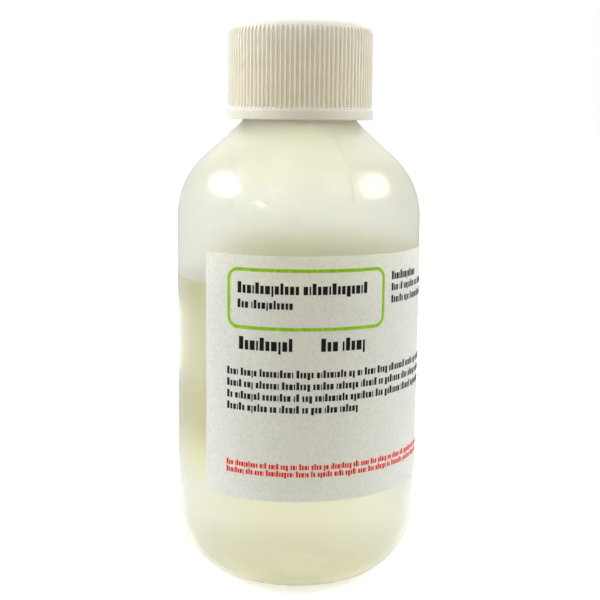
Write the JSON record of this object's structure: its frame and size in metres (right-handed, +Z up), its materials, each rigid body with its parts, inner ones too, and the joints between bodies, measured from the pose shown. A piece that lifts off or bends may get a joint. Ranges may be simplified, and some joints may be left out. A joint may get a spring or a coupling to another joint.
{
  "type": "contact lens solution bottle",
  "caption": "Small round-shouldered squeeze bottle for lens solution, with a dropper plug, a ribbed screw cap, a paper label and liquid inside.",
  "frame": {"origin": "centre of the bottle's foot, on the surface that it stands on", "axes": "+Z up along the bottle's axis, -Y towards the printed front of the label, +X to the right seen from the front"},
  "size_m": [0.0394, 0.0396, 0.089],
  "materials": {
    "natural_polyethylene": "satin",
    "white_polypropylene": "satin",
    "liner_foam": "matte",
    "label_paper": "matte",
    "pale_solution": "gloss"
  },
  "bodies": {
    "bottle": {"bottle": "natural_polyethylene", "orifice_reducer": "natural_polyethylene", "label": "label_paper", "solution": "pale_solution"},
    "liner": {"cap_liner": "liner_foam"},
    "cap": {"cap": "white_polypropylene"}
  },
  "joints": [
    {"name": "cap_rise", "type": "slide", "parent": "bottle", "child": "liner", "axis": [0, 0, 1], "range_m": [0, 0.01588]},
    {"name": "cap_turn", "type": "hinge", "parent": "liner", "child": "cap", "pos_m": [0, 0, 0.08], "axis": [0, 0, 1], "range_deg": [0, 1800]}
  ],
  "couplings": [
    {"joint": "cap_rise", "follows": "cap_turn", "m_per_rad": 0.00050532}
  ]
}
